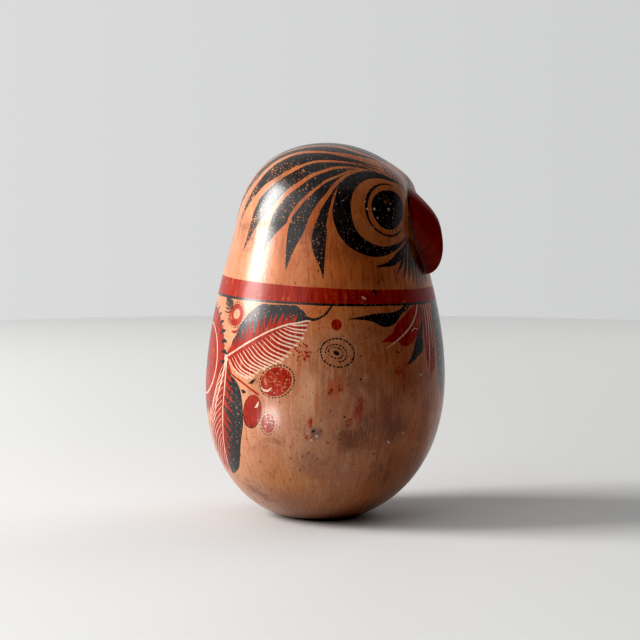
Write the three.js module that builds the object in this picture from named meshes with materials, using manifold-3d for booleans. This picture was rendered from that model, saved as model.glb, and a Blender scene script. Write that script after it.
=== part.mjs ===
// A burnished clay owl: a hollow, egg-shaped figure with a brow over the eyes and a rounded beak.
//
// It is made as a potter makes it. A front half and a back half are pressed in two moulds and
// luted edge to edge round a coil of soft clay, a disc with a vent hole closes the foot, and the
// beak is a lump of clay stuck on with slip. Each of those is a solid of its own here, with a
// small clearance between neighbours. Nothing moves: the fired figure is rigid.
//
// Millimetres, +Z up, beak towards -Y. The origin is the centre of the flat foot.
import * as THREE from "three";
import { mergeVertices } from "three/addons/utils/BufferGeometryUtils.js";
import Module from "manifold-3d";

// Overall sizes.
const HEIGHT = 200; // foot to crown
const BELLY_RADIUS = 64.2;
const BELLY_HEIGHT = 71.5; // of the widest ring, above the foot
const SHOULDER_RADIUS = 48.1;
const SHOULDER_DROP = 42; // of the ring where the dome of the head begins, below the crown
const SHOULDER_SLOPE = 81; // degrees above the horizontal, of the wall at that ring
const WALL = 5;

// How full the curves between those rings are: the lengths of their Bezier handles.
const FOOT_FULLNESS = 7;
const UNDER_BELLY_FULLNESS = 57;
const OVER_BELLY_FULLNESS = 37;
const UNDER_SHOULDER_FULLNESS = 11;
const OVER_SHOULDER_FULLNESS = 35;
const CROWN_FULLNESS = 17.5;

// The body sways forward a little between the foot and this height.
const SWAY = 4;
const SWAY_TOP = 120;

// The two brows, one over each eye, and the low swelling that each eye is painted on.
const BROW = { drop: 20, angle: 22, height: 5, spread: 20, above: 10, below: 15 };
const EYE = { drop: 36, angle: 36, height: 1.4, spread: 17, above: 13, below: 13 };
const RELIEF_FADE = 12; // radius round the crown within which the relief fades out

// Beak.
const BEAK_DROP = 45.5; // of its middle, below the crown
const BEAK_LENGTH = 47;
const BEAK_WIDTH = 20.8;
const BEAK_DEPTH = 13.5; // how far it stands out from the face
const BEAK_ROOT = 5; // how far the lump reaches behind the face, before it is cut to sit on it

// Foot disc and its vent.
const DISC_RADIUS = 14;
const DISC_THICKNESS = 5;
const VENT_RADIUS = 2.5;
const VENT_OFFSET = 7; // of the vent, behind the foot's centre
const FOOT_RIM = 2.5; // flat width of the body's own rim round the disc

// Joints between the clay pieces.
const CLEARANCE = 0.3;
const SLIP = 1; // thickness of a slip joint
const COIL_WIDTH = 10; // of the coil's bead, inside over the seam
const COIL_DEPTH = 3;
const HALF_GAP = SLIP / 2 + CLEARANCE; // from the seam's plane to the edge of either half
const OPENING_RADIUS = DISC_RADIUS + CLEARANCE + SLIP + CLEARANCE;
const FOOT_RADIUS = OPENING_RADIUS + FOOT_RIM;

// Fineness of the meshes.
const ROUND = 60; // facets round the body
const ROUND_INSIDE = 44;
const STEPS = [11, 10, 11]; // rows on each stretch of the outline, from the foot up
const STEPS_INSIDE = [8, 6, 8];

const wasm = await Module();
wasm.setup();

// A closed geometry as a solid.
function solidOf(geometry) {
  const bare = geometry.clone();
  bare.deleteAttribute("normal");
  bare.deleteAttribute("uv");
  const merged = mergeVertices(bare, 1e-4);
  return new wasm.Manifold(
    new wasm.Mesh({
      numProp: 3,
      vertProperties: new Float32Array(merged.attributes.position.array),
      triVerts: new Uint32Array(merged.index.array),
    }),
  );
}

// Moves each vertex of a geometry to the place that the function gives for it.
function reshape(geometry, place) {
  const position = geometry.attributes.position;
  const point = new THREE.Vector3();
  for (let i = 0; i < position.count; i++) {
    place(point.fromBufferAttribute(position, i));
    position.setXYZ(i, point.x, point.y, point.z);
  }
  return geometry;
}

// The outline of the body as three Bezier stretches in (radius, height), from the foot's edge up.
function outlineCurves() {
  const slope = THREE.MathUtils.degToRad(SHOULDER_SLOPE);
  const up = new THREE.Vector2(-Math.cos(slope), Math.sin(slope));
  const foot = new THREE.Vector2(FOOT_RADIUS, 0);
  const belly = new THREE.Vector2(BELLY_RADIUS, BELLY_HEIGHT);
  const shoulder = new THREE.Vector2(SHOULDER_RADIUS, HEIGHT - SHOULDER_DROP);
  const crown = new THREE.Vector2(0, HEIGHT);
  const along = (from, x, y) => new THREE.Vector2(from.x + x, from.y + y);
  return [
    new THREE.CubicBezierCurve(
      foot,
      along(foot, FOOT_FULLNESS, 0),
      along(belly, 0, -UNDER_BELLY_FULLNESS),
      belly,
    ),
    new THREE.CubicBezierCurve(
      belly,
      along(belly, 0, OVER_BELLY_FULLNESS),
      along(shoulder, -up.x * UNDER_SHOULDER_FULLNESS, -up.y * UNDER_SHOULDER_FULLNESS),
      shoulder,
    ),
    new THREE.CubicBezierCurve(
      shoulder,
      along(shoulder, up.x * OVER_SHOULDER_FULLNESS, up.y * OVER_SHOULDER_FULLNESS),
      along(crown, CROWN_FULLNESS, 0),
      crown,
    ),
  ];
}

// Points of the outline from the axis under the foot to the axis at the crown, moved outwards by
// offset, or inwards if it is negative.
function outline(offset, steps) {
  const points = [new THREE.Vector2(0, -offset)];
  outlineCurves().forEach((curve, k) => {
    for (let i = k === 0 ? 0 : 1; i <= steps[k]; i++) {
      const at = curve.getPoint(i / steps[k]);
      const tangent = curve.getTangent(i / steps[k]);
      points.push(new THREE.Vector2(at.x + tangent.y * offset, at.y - tangent.x * offset));
    }
  });
  points[points.length - 1].x = 0;
  return points;
}

// Height of one smooth swelling at a bearing, in degrees from the beak, and a height.
function swelling(shape, bearing, z) {
  const rise = z - (HEIGHT - shape.drop);
  const tall = rise / (rise > 0 ? shape.above : shape.below);
  const side = (offCentre) => Math.exp(-((offCentre / shape.spread) ** 2) - tall ** 2);
  return shape.height * (side(bearing - shape.angle) + side(bearing + shape.angle));
}

// How far the face stands out from the plain round body.
function relief(bearing, radius, z) {
  const fade = Math.min(1, radius / RELIEF_FADE);
  return fade * (swelling(BROW, bearing, z) + swelling(EYE, bearing, z));
}

// The whole body as one solid, moved outwards by offset.
function body(offset, steps, round) {
  const turned = new THREE.LatheGeometry(outline(offset, steps), round);
  turned.rotateX(Math.PI / 2);
  return solidOf(
    reshape(turned, (p) => {
      const radius = Math.hypot(p.x, p.y);
      const bearing = THREE.MathUtils.radToDeg(Math.atan2(p.x, -p.y));
      if (radius < CLEARANCE) {
        p.x = 0;
        p.y = 0;
        return;
      }
      const grown = 1 + relief(bearing, radius, p.z) / radius;
      p.x *= grown;
      p.y *= grown;
    }),
  );
}

// A slab across the body, from one distance behind the seam's plane to another.
function slab(from, to) {
  const box = new THREE.BoxGeometry(4 * BELLY_RADIUS, to - from, 3 * HEIGHT);
  box.translate(0, (from + to) / 2, HEIGHT / 2);
  return solidOf(box);
}

// An upright cylinder from one height to another, centred y behind the axis.
function cylinder(radius, from, to, y = 0) {
  const drum = new THREE.CylinderGeometry(radius, radius, to - from, 40);
  drum.rotateX(Math.PI / 2);
  drum.translate(0, y, (from + to) / 2);
  return solidOf(drum);
}

// Radius of the face on its middle line at a height.
function faceRadius(z) {
  const points = outline(0, STEPS);
  const k = points.findIndex((p, i) => i > 1 && p.y >= z);
  const share = (z - points[k - 1].y) / (points[k].y - points[k - 1].y);
  const radius = points[k - 1].x + share * (points[k].x - points[k - 1].x);
  return radius + relief(0, radius, z);
}

// The lump that the beak is cut from: a sphere drawn out into rounded level sections. It is broad
// at the top and comes to a point below, and it stands out furthest at its middle.
function beakLump() {
  const ball = new THREE.SphereGeometry(1, 28, 22);
  ball.rotateX(Math.PI / 2);
  return solidOf(
    reshape(ball, (p) => {
      const u = THREE.MathUtils.clamp(p.z, -1, 1);
      const across = Math.hypot(p.x, p.y);
      const full = 1 - u * u;
      const z = HEIGHT - BEAK_DROP + (BEAK_LENGTH / 2) * u;
      const out = BEAK_DEPTH * full ** (u > 0 ? 1.5 : 0.58);
      const up = (u + 1) / 2; // 0 at the point, 1 at the top
      const halfWidth = (BEAK_WIDTH / 2) * 1.32 * up ** 0.8 * Math.sqrt(1 - up ** 8);
      const halfDepth = out + BEAK_ROOT * Math.sqrt(full);
      const middle = faceRadius(z) + out - halfDepth;
      const side = across > 1e-6 ? p.x / across : 0;
      const front = across > 1e-6 ? -p.y / across : 0;
      p.set(halfWidth * side, -(middle + halfDepth * front), z);
    }),
  );
}

// How far forward the body has swayed at a height.
function sway(z) {
  const left = 1 - Math.min(Math.max(z, 0), SWAY_TOP) / SWAY_TOP;
  return SWAY * (1 - left * left);
}

// A named mesh of a solid, with the body's sway put in.
function clayMesh(name, solid, material) {
  const { numProp, vertProperties, triVerts } = solid.getMesh();
  const position = new Float32Array((vertProperties.length / numProp) * 3);
  for (let i = 0; i * numProp < vertProperties.length; i++) {
    position.set(vertProperties.subarray(i * numProp, i * numProp + 3), i * 3);
  }
  const geometry = new THREE.BufferGeometry()
    .setAttribute("position", new THREE.BufferAttribute(position, 3))
    .setIndex(new THREE.BufferAttribute(new Uint32Array(triVerts), 1));
  reshape(geometry, (p) => {
    p.y -= sway(p.z);
  });
  geometry.computeVertexNormals();
  const mesh = new THREE.Mesh(geometry, material);
  mesh.name = name;
  return mesh;
}

const burnishedClay = new THREE.MeshStandardMaterial({ color: 0xb8703f, roughness: 0.32 });
const redSlip = new THREE.MeshStandardMaterial({ color: 0x7e2415, roughness: 0.35 });
const rawClay = new THREE.MeshStandardMaterial({ color: 0xa9745a, roughness: 0.9 });

const outside = body(0, STEPS, ROUND);
const inside = body(-WALL, STEPS_INSIDE, ROUND_INSIDE);
const footOpening = cylinder(OPENING_RADIUS, -WALL, 3 * WALL);
const shell = outside.subtract(inside).subtract(footOpening);

// The seam: a web of slip between the two edges, and the bead pressed over it inside.
function seamCoil() {
  const beadOuter = body(-WALL - CLEARANCE, STEPS_INSIDE, ROUND_INSIDE);
  const beadInner = body(-WALL - CLEARANCE - COIL_DEPTH, STEPS_INSIDE, ROUND_INSIDE);
  const webOuter = body(-CLEARANCE, STEPS, ROUND);
  const web = webOuter.intersect(slab(-SLIP / 2, SLIP / 2));
  const bead = beadOuter.intersect(slab(-COIL_WIDTH / 2, COIL_WIDTH / 2));
  return web.add(bead).subtract(beadInner).subtract(footOpening);
}

// The disc that closes the foot, and the ring of slip that holds it.
function footDisc() {
  const vent = cylinder(VENT_RADIUS, -WALL, DISC_THICKNESS + WALL, VENT_OFFSET);
  return cylinder(DISC_RADIUS, 0, DISC_THICKNESS).subtract(vent);
}

function footSlip() {
  const inner = DISC_RADIUS + CLEARANCE;
  return cylinder(inner + SLIP, CLEARANCE, WALL).subtract(cylinder(inner, -WALL, 2 * WALL));
}

// The beak, cut to sit on the slip that covers the face behind it.
const lump = beakLump();
const beakCut = body(CLEARANCE + SLIP + CLEARANCE, STEPS, ROUND);
const slipLayer = body(CLEARANCE + SLIP, STEPS, ROUND).subtract(body(CLEARANCE, STEPS, ROUND));

const owl = new THREE.Group();
const back = slab(HALF_GAP, 3 * BELLY_RADIUS);
const front = slab(-3 * BELLY_RADIUS, -HALF_GAP);
owl.add(
  clayMesh("front_half", shell.intersect(front), burnishedClay),
  clayMesh("back_half", shell.intersect(back), burnishedClay),
  clayMesh("seam_coil", seamCoil(), rawClay),
  clayMesh("beak", lump.subtract(beakCut), redSlip),
  clayMesh("beak_slip", lump.intersect(slipLayer), rawClay),
  clayMesh("foot_disc", footDisc(), rawClay),
  clayMesh("foot_slip", footSlip(), rawClay),
);

export default owl;
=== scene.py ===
"""A burnished clay owl, painted with slip in black, red and cream.

The painted skin is made first as a flat chart of the body. The body is round, so its outline and
a bearing round its axis give every point of it, and the chart is the conformal one: it keeps
angles, and a brush line of even width on the clay is an even line on the chart. Each brush stroke
is a closed outline on the chart. All the outlines are edges of one triangulation, so the paint's
edges are real edges of the mesh, and each triangle takes the colour of the last stroke over it.

Lengths are in millimetres until a mesh is made. A place on the body is (bearing, down): degrees
round from the beak, negative on the owl's right, and distance down the skin from the crown.
"""

import math
import random

import bpy
import numpy as np
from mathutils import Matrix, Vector, geometry, kdtree


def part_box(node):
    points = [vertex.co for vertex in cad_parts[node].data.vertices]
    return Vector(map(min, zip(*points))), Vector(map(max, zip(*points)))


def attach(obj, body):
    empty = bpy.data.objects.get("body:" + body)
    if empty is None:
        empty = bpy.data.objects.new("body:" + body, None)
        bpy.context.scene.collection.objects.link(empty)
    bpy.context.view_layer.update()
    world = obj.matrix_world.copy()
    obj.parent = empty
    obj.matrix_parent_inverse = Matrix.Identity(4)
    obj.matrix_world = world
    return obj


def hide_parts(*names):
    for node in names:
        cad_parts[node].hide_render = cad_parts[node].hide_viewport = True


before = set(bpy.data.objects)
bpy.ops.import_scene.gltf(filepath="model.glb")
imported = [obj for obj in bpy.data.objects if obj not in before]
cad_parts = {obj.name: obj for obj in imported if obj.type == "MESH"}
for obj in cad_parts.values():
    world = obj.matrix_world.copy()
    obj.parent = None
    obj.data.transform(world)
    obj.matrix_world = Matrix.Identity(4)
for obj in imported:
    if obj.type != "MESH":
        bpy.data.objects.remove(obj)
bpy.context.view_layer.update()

MM = 0.001

# --- The body's shape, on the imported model's sizes ---

front_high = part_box("front_half")[1]
disc_low, disc_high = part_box("foot_disc")
HEIGHT = front_high.z / MM
BELLY_RADIUS = front_high.x / MM
DISC_RADIUS = (disc_high.x - disc_low.x) / 2 / MM
OPENING_RADIUS = DISC_RADIUS + 1.6
FOOT_RADIUS = OPENING_RADIUS + 2.5
WALL = 5.0

BELLY_HEIGHT = 71.5
SHOULDER_RADIUS = 48.1
SHOULDER_DROP = 42.0
SHOULDER_SLOPE = math.radians(81)
FOOT_FULLNESS = 7.0
UNDER_BELLY_FULLNESS = 57.0
OVER_BELLY_FULLNESS = 37.0
UNDER_SHOULDER_FULLNESS = 11.0
OVER_SHOULDER_FULLNESS = 35.0
CROWN_FULLNESS = 17.5

SWAY = 4.0
SWAY_TOP = 120.0

# drop below the crown, bearing, height, spread in degrees, reach above and below
BROW = (20.0, 22.0, 5.0, 20.0, 10.0, 15.0)
EYE_SWELLING = (36.0, 36.0, 1.4, 17.0, 13.0, 13.0)
RELIEF_FADE = 12.0


def bezier(a, b, c, d, count):
    t = np.linspace(0, 1, count)[:, None]
    a, b, c, d = (np.array(p, float) for p in (a, b, c, d))
    return (1 - t) ** 3 * a + 3 * (1 - t) ** 2 * t * b + 3 * (1 - t) * t * t * c + t**3 * d


def outline():
    """(radius, height) from the crown down to the edge of the foot's opening."""
    up = np.array([-math.cos(SHOULDER_SLOPE), math.sin(SHOULDER_SLOPE)])
    opening = (OPENING_RADIUS, 0)
    foot = (FOOT_RADIUS, 0)
    belly = (BELLY_RADIUS, BELLY_HEIGHT)
    shoulder = np.array([SHOULDER_RADIUS, HEIGHT - SHOULDER_DROP])
    crown = (0, HEIGHT)
    rim = np.array([opening, foot], float)
    under_belly = (BELLY_RADIUS, BELLY_HEIGHT - UNDER_BELLY_FULLNESS)
    over_belly = (BELLY_RADIUS, BELLY_HEIGHT + OVER_BELLY_FULLNESS)
    under_shoulder = shoulder - up * UNDER_SHOULDER_FULLNESS
    over_shoulder = shoulder + up * OVER_SHOULDER_FULLNESS
    low = bezier(foot, (FOOT_RADIUS + FOOT_FULLNESS, 0), under_belly, belly, 700)
    middle = bezier(belly, over_belly, under_shoulder, shoulder, 700)
    head = bezier(shoulder, over_shoulder, (CROWN_FULLNESS, HEIGHT), crown, 900)
    return np.vstack([rim[:1], low, middle[1:], head[1:]])[::-1]


LINE = outline()
DOWN = np.concatenate([[0], np.cumsum(np.hypot(*np.diff(LINE, axis=0).T))])
LENGTH = DOWN[-1]

# The chart's radius for each distance down the skin. Near the crown it is that distance.
CHART_START = 1.0
past = DOWN >= CHART_START
per_radius = 1 / np.maximum(LINE[:, 0], 1e-3)
steps = np.diff(DOWN) * 0.5 * (per_radius[1:] + per_radius[:-1])
growth = np.concatenate([[0], np.cumsum(np.where(past[1:], steps, 0))])
CHART = np.where(past, CHART_START * np.exp(growth - growth[np.argmax(past)]), DOWN)


def radius_at(down):
    return np.interp(down, DOWN, LINE[:, 0])


def height_at(down):
    return np.interp(down, DOWN, LINE[:, 1])


def down_at(height):
    return np.interp(-np.asarray(height, float), -LINE[:, 1], DOWN)


def swelling(shape, bearing, height):
    drop, angle, rise, spread, above, below = shape
    over = height - (HEIGHT - drop)
    tall = np.where(over > 0, over / above, over / below)
    near = np.exp(-(((bearing - angle) / spread) ** 2) - tall**2)
    far = np.exp(-(((bearing + angle) / spread) ** 2) - tall**2)
    return rise * (near + far)


def relief(bearing, radius, height):
    fade = np.minimum(1, radius / RELIEF_FADE)
    return fade * (swelling(BROW, bearing, height) + swelling(EYE_SWELLING, bearing, height))


def sway(height):
    left = 1 - np.clip(height, 0, SWAY_TOP) / SWAY_TOP
    return SWAY * (1 - left * left)


def place(bearing, down, out=0.0):
    """Points of the skin, in millimetres; out moves them away from the axis."""
    radius, height = radius_at(down), height_at(down)
    full = radius + relief(bearing, radius, height) + out
    turn = np.radians(bearing)
    return np.stack([full * np.sin(turn), -full * np.cos(turn) - sway(height), height], -1)


def to_chart(bearing, down):
    turn, out = np.radians(bearing), np.interp(down, DOWN, CHART)
    return np.stack([out * np.sin(turn), -out * np.cos(turn)], -1)


def from_chart(xy):
    out = np.hypot(xy[:, 0], xy[:, 1])
    return np.degrees(np.arctan2(xy[:, 0], -xy[:, 1])), np.interp(out, CHART, DOWN)


def chart_scale(down):
    """Chart units to a millimetre of skin."""
    return np.interp(down, DOWN, CHART) / np.maximum(radius_at(down), 1e-3)


PROBE = 0.2  # how far to each side a normal is measured


def skin(xy):
    """Points of the skin and their normals, from places on the chart."""
    bearing, down = from_chart(xy)
    here = place(bearing, down)
    step = np.where(down < CHART_START, PROBE, PROBE * chart_scale(np.maximum(down, CHART_START)))
    step = np.minimum(step[:, None], PROBE * chart_scale(np.array([LENGTH - 0.5]))[0])
    ways = []
    for way in (np.array([[1.0, 0.0]]), np.array([[0.0, 1.0]])):
        ahead = place(*from_chart(xy + way * step))
        behind = place(*from_chart(xy - way * step))
        ways.append(ahead - behind)
    normal = np.cross(ways[0], ways[1])
    normal /= np.linalg.norm(normal, axis=1, keepdims=True)
    return here, normal


# --- Brush work ---

CLAY, RED, BLACK, WHITE, RAW = range(5)
strokes = []  # (colour, closed outline on the chart), in the order they are painted
hand = {"side": 1.0, "shift": 0.0}  # which side is painted; side -1 mirrors the bearings
rng = random.Random(7)


def flat(points):
    """(bearing, down, ...) as (turn, log of the chart's radius, ...), where angles and shapes are
    kept and one unit is the body's radius in millimetres."""
    p = np.array(points, float)
    p[:, 0] = np.radians(hand["side"] * p[:, 0] + hand["shift"])
    p[:, 1] = np.log(np.interp(p[:, 1], DOWN, CHART))
    return p


def down_of(flat_y):
    return np.interp(np.exp(flat_y), CHART, DOWN)


def local_radius(flat_y):
    return np.maximum(radius_at(down_of(flat_y)), 1.0)


def between(u, low, at_low, high, at_high):
    """The value at u on the straight line through two values."""
    return (high - u) / (high - low) * at_low + (u - low) / (high - low) * at_high


def smooth(p, step=0.5):
    """A Catmull-Rom curve through points in the flat plane, every step millimetres."""
    if len(p) == 2:
        p = np.vstack([p[0], (p[0] + p[1]) / 2, p[1]])
    ends = np.vstack([2 * p[0] - p[1], p, 2 * p[-1] - p[-2]])
    gap = np.hypot(*np.diff(ends[:, :2], axis=0).T) ** 0.5 + 1e-9
    t = np.concatenate([[0], np.cumsum(gap)])
    out = []
    for i in range(1, len(ends) - 2):
        p0, p1, p2, p3 = ends[i - 1 : i + 3]
        t0, t1, t2, t3 = t[i - 1 : i + 3]
        reach = np.hypot(*(p2 - p1)[:2]) * local_radius(p1[1])
        count = max(2, int(reach / step) + 1)
        u = np.linspace(t1, t2, count, endpoint=False)[:, None]
        a1, a2, a3 = between(u, t0, p0, t1, p1), between(u, t1, p1, t2, p2), between(u, t2, p2, t3, p3)
        b1, b2 = between(u, t0, a1, t2, a2), between(u, t1, a2, t3, a3)
        out.append(between(u, t1, b1, t2, b2))
    out.append(p[-1:])
    return np.vstack(out)


def simplified(p, closeness=0.035, longest=6):
    """Douglas-Peucker on a run of flat points, to a closeness and a longest edge in millimetres."""
    keep = np.zeros(len(p), bool)
    keep[[0, -1]] = True
    todo = [(0, len(p) - 1)]
    while todo:
        a, b = todo.pop()
        if b - a < 2:
            continue
        line = p[b, :2] - p[a, :2]
        size = np.hypot(*line)
        off = p[a + 1 : b, :2] - p[a, :2]
        if size > 1e-9:
            far = np.abs(line[0] * off[:, 1] - line[1] * off[:, 0]) / size
        else:
            far = np.hypot(*off.T)
        far = far * local_radius(p[a + 1 : b, 1])
        worst = int(np.argmax(far))
        if far[worst] > closeness or size * local_radius(p[a, 1]) > longest:
            worst = worst if far[worst] > closeness else (b - a) // 2 - 1
            keep[a + 1 + worst] = True
            todo += [(a, a + 1 + worst), (a + 1 + worst, b)]
    return p[keep]


def wobble(count, size, run=9):
    """A smooth random run of numbers, for an unsteady hand."""
    knots = np.array([rng.uniform(-1, 1) for _ in range(max(2, count // run + 2))])
    at = np.linspace(0, len(knots) - 1.001, count)
    low, share = at.astype(int), at % 1
    share = share * share * (3 - 2 * share)
    return size * (knots[low] * (1 - share) + knots[low + 1] * share)


def paint(colour, flat_outline):
    turn, out = flat_outline[:, 0], np.exp(flat_outline[:, 1])
    strokes.append((colour, np.stack([out * np.sin(turn), -out * np.cos(turn)], -1)))


def heading(run):
    """The unit direction along a run of flat points."""
    way = np.gradient(run[:, :2], axis=0)
    return way / (np.linalg.norm(way, axis=1, keepdims=True) + 1e-12)


def tilted(x, y, lean):
    """Offsets turned by an angle in radians."""
    return x * math.cos(lean) - y * math.sin(lean), x * math.sin(lean) + y * math.cos(lean)


def blade(colour, one_edge, other_edge, unsteady=0.06):
    """A shape between two edges that share their first and last points."""
    edges = []
    for edge in (one_edge, other_edge):
        run = smooth(flat(edge))
        way = heading(run)
        off = wobble(len(run), unsteady)
        off[:3] = off[-3:] = 0
        run[:, 0] += -way[:, 1] * off / local_radius(run[:, 1])
        run[:, 1] += way[:, 0] * off / local_radius(run[:, 1])
        edges.append(simplified(run))
    paint(colour, np.vstack([edges[0], edges[1][::-1][1:-1]]))


def brush(colour, path, unsteady=0.05, step=0.5):
    """A stroke along (bearing, down, width) points."""
    run = smooth(flat(path), step)
    way = heading(run)
    radius = local_radius(run[:, 1])
    half = np.maximum(run[:, 2] / 2, 0.0)
    across = np.stack([-way[:, 1], way[:, 0]], -1) / radius[:, None]
    sides = []
    for side in (1, -1):
        reach = half * (1 + wobble(len(run), 0.04))
        reach = np.maximum(reach + wobble(len(run), unsteady) * np.minimum(1, half), 0.02)
        sides.append(simplified(run[:, :2] + side * across * reach[:, None]))
    ends = []
    for k, sign in ((-1, 1.0), (0, -1.0)):
        if half[k] > 0.2:
            fan = np.linspace(0, math.pi, 6)[1:-1]
            first = across[k] * half[k] * sign
            ahead = way[k] * half[k] / radius[k] * sign
            ends.append(run[k, :2] + np.outer(np.cos(fan), first) + np.outer(np.sin(fan), ahead))
        else:
            ends.append(np.empty((0, 2)))
    paint(colour, np.vstack([sides[0], ends[0], sides[1][::-1], ends[1]]))


def oval_points(bearing, down, wide, tall, tilt=0.0, count=None, unsteady=0.0):
    """Flat points round an oval: half sizes in millimetres, tilt in degrees."""
    middle = flat([(bearing, down)])[0]
    radius = local_radius(middle[1])
    count = count or max(6, int(2 * math.pi * max(wide, tall) / 0.9))
    turn = np.linspace(0, 2 * math.pi, count, endpoint=False)
    stretch = 1 + (wobble(count, unsteady) * np.sin(turn / 2) if unsteady else 0)
    x, y = wide * np.cos(turn) * stretch, tall * np.sin(turn) * stretch
    x, y = tilted(x, y, math.radians(tilt))
    return np.stack([middle[0] + hand["side"] * x / radius, middle[1] + y / radius], -1)


def oval(colour, bearing, down, wide, tall, tilt=0.0, unsteady=0.02):
    paint(colour, oval_points(bearing, down, wide, tall, tilt, unsteady=unsteady))


def dots(colour, bearing, down, wide, tall, tilt, spacing, size, turn_from=0.0, turn_to=1.0):
    """A ring of touches of the brush, each a little out of place."""
    round_length = math.pi * (wide + tall) * (turn_to - turn_from)
    count = max(3, int(round_length / spacing))
    fine = 240
    ring = oval_points(bearing, down, wide, tall, tilt, count=fine)
    for k in range(count):
        share = turn_from + (turn_to - turn_from) * (k + rng.uniform(-0.12, 0.12)) / count
        at = ring[int(share * fine) % fine]
        ahead = ring[(int(share * fine) + 3) % fine] - at
        lean = math.atan2(ahead[1], ahead[0])
        radius = local_radius(at[1])
        long, short = size * rng.uniform(0.8, 1.5), size * rng.uniform(0.45, 0.8)
        turn = np.linspace(0, 2 * math.pi, 7, endpoint=False)
        x, y = tilted(long * np.cos(turn), short * np.sin(turn), lean)
        paint(colour, np.stack([at[0] + x / radius, at[1] + y / radius], -1))


def speckle(colour, bearing, down, wide, tall, tilt, count, least, most):
    """Specks strewn over an oval."""
    middle = flat([(bearing, down)])[0]
    radius = local_radius(middle[1])
    for _ in range(count):
        far, turn = math.sqrt(rng.random()), rng.uniform(0, 2 * math.pi)
        x, y = tilted(wide * far * math.cos(turn), tall * far * math.sin(turn), math.radians(tilt))
        x *= hand["side"]
        size = least + (most - least) * rng.random() ** 2
        ring = np.linspace(0, 2 * math.pi, 6, endpoint=False) + rng.uniform(0, 1)
        blot = size * np.array([rng.uniform(0.6, 1.2) for _ in ring])
        sx, sy = blot * np.cos(ring), blot * np.sin(ring) * rng.uniform(0.6, 1.3)
        paint(colour, np.stack([middle[0] + (x + sx) / radius, middle[1] + (y + sy) / radius], -1))


def loop(colour, down_by_bearing):
    """Everything above a line that goes right round the body."""
    bearings = np.arange(-180, 180, 3.0)
    downs = np.array([down_by_bearing(b) for b in bearings]) + wobble(len(bearings), 0.12, 4)
    strokes.append((colour, to_chart(bearings, downs)))


DEGREE_LENGTH = 1.1  # about how many millimetres a degree round the belly is


def path_point(path, share):
    """A point at a share of the way along a smoothed path of (bearing, down)."""
    p = np.array(path, float)
    steps = np.hypot(np.diff(p[:, 0]) * DEGREE_LENGTH, np.diff(p[:, 1]))
    t = np.concatenate([[0], np.cumsum(steps)]) / steps.sum()
    return np.array([np.interp(share, t, p[:, 0]), np.interp(share, t, p[:, 1])])


def along(path, widths):
    """A path for a brush: the points of a line, each with a width."""
    return [(*p, w) for p, w in zip(path, widths)]


def barbs(
    colour, spine, edge, count, lead, reach, root, tip, first=0.04, last=0.86, start=0.0, curl=0.0
):
    """Strokes from a leaf's spine to its edge: lead is how far ahead of its root each one ends,
    reach the share of the way to the edge, root and tip the widths at its ends."""
    for k in range(count):
        share = first + (last - first) * (k + 0.5 + rng.uniform(-0.12, 0.12)) / count
        end = min(1.0, share + lead * (1 - 0.5 * share))
        a = path_point(spine, share)
        b = path_point(edge, end)
        far = reach * rng.uniform(0.93, 1.05)
        a, b = a + (b - a) * start, a + (b - a) * far
        bow = (path_point(spine, min(1, end)) - a) * curl
        middle = (a + b) / 2 - bow
        width = rng.uniform(0.85, 1.15)
        widths = root * width, (root + tip) / 2 * width * 1.05, tip * width
        brush(colour, along((a, middle, b), widths), 0.03, 1.2)


# The body: flowers, leaves and berries


def flower():
    """A large round flower behind the shoulder."""
    at = (-157, 144)
    petals = 30
    squeeze = 0.9  # degrees round the body to a millimetre

    def rim(radius, turn):
        return at[0] + radius * squeeze * math.cos(turn), at[1] + radius * math.sin(turn)

    for k in range(petals):
        turn = 2 * math.pi * k / petals
        points = (rim(20, turn), rim(27, turn), rim(30, turn + 0.05))
        brush(BLACK, along(points, (3.2, 2.6, 1)))
    for k in range(petals):
        turn = 2 * math.pi * (k + 0.5) / petals
        oval(RED, *rim(24.5, turn), 3.6, 2.1, math.degrees(turn), 0.06)
    oval(RED, *at, 23.6, 23.6)
    oval(WHITE, *at, 20, 19.6)
    oval(RED, *at, 18.9, 18.5)
    dots(BLACK, *at, 13.5, 13.2, 0, 3.4, 0.8)
    oval(BLACK, *at, 6.2, 6.2, 0, 0.05)
    oval(RED, *at, 3, 3, 0, 0.05)
    dots(WHITE, *at, 4.6, 4.6, 0, 2.4, 0.4)


LEAF_SPINE = [(-130, 140.7), (-125, 138), (-120, 135), (-115, 132), (-110, 129.2), (-105, 126.4),
    (-100, 124.2), (-96, 122.6), (-92.5, 121.6), (-88, 121), (-83.5, 119.8)]
LEAF_TOP = [(-130, 140.7), (-128.1, 137), (-126.3, 131.6), (-124.4, 128.9), (-123.1, 125.3),
    (-121, 122.2), (-119.4, 119.8), (-117.5, 117.3), (-115, 115.2), (-112, 113), (-108.8, 111.9),
    (-105, 112.1), (-100, 112), (-94, 112), (-90, 112.4), (-88, 114), (-86.9, 114.6), (-85, 117.2),
    (-83.5, 119.8)]
LEAF_LOW = [(-130, 140.7), (-127.5, 143.2), (-123, 147), (-118.1, 150.9), (-115, 151), (-111.5, 150),
    (-108.8, 147.9), (-106, 146.3), (-102.5, 144.5), (-98.8, 142.2), (-95.6, 140.1), (-93, 137),
    (-90.6, 133.9), (-88.8, 131.6), (-86.3, 128.3), (-85.2, 125), (-84.2, 122), (-83.5, 119.8)]
BLADE_SPINE = [(-130, 141.5), (-129.8, 146), (-129.8, 151), (-130.3, 158), (-131.4, 166), (-132.8, 175),
    (-134.5, 184), (-136.8, 194), (-139.4, 206)]
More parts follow.
